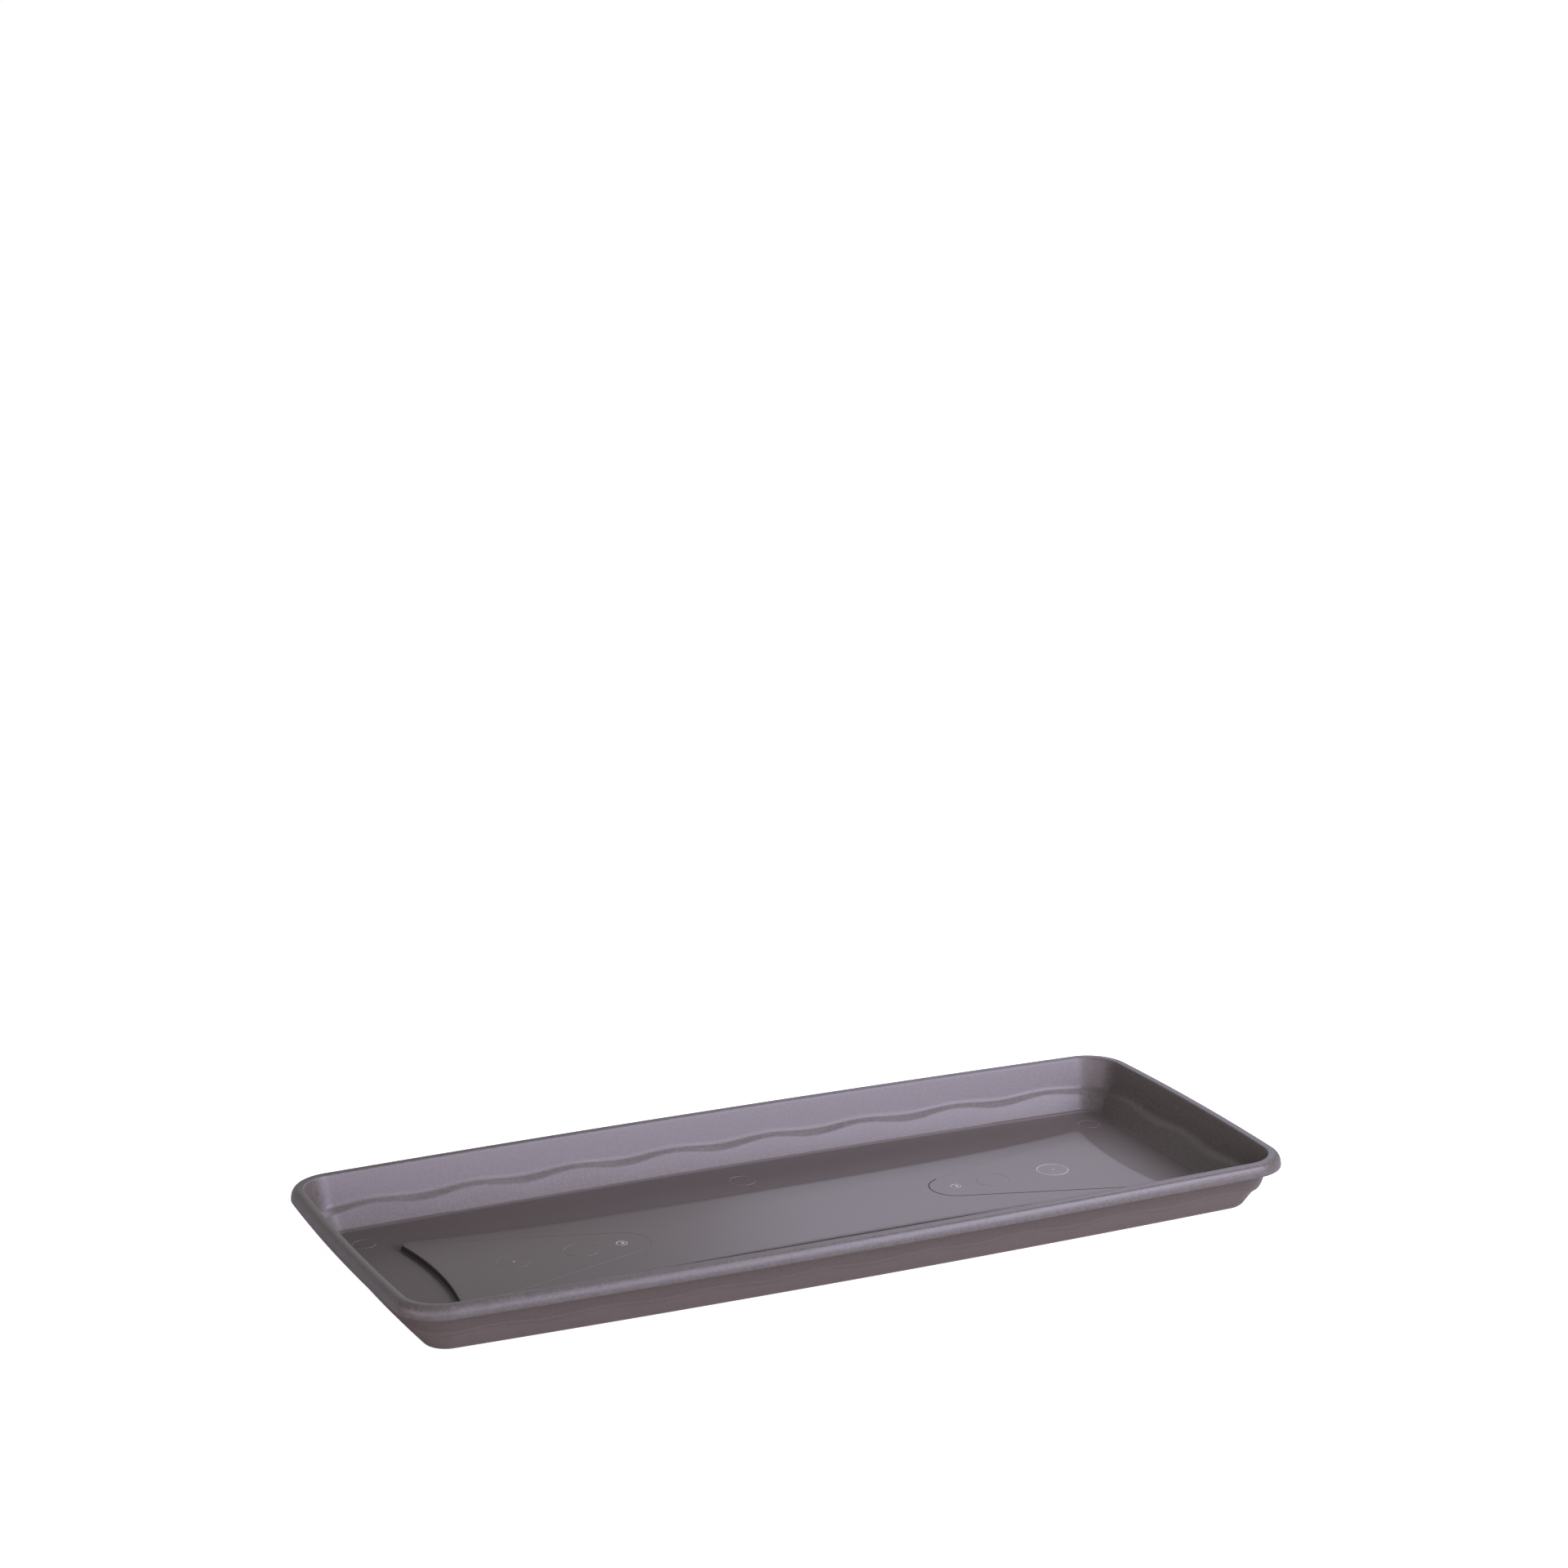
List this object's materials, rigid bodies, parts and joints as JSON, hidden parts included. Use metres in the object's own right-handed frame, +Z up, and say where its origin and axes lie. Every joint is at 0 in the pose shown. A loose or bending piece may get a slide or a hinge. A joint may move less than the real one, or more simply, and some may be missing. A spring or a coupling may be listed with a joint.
{
  "type": "plant saucer",
  "caption": "Long rectangular plant saucer: shallow moulded tray with a rolled rim, a wavy step round its walls and a raised floor panel that a planter stands on.",
  "frame": {"origin": "centre of the footprint, on the surface the saucer stands on", "axes": "+X along the saucer's length, +Y across it, +Z up out of its open top"},
  "size_m": [0.5, 0.21, 0.03],
  "materials": {
    "taupe_plastic": "finely grained walls, smoother satin floor"
  },
  "bodies": {
    "root": {"tray": "taupe_plastic"}
  },
  "joints": []
}
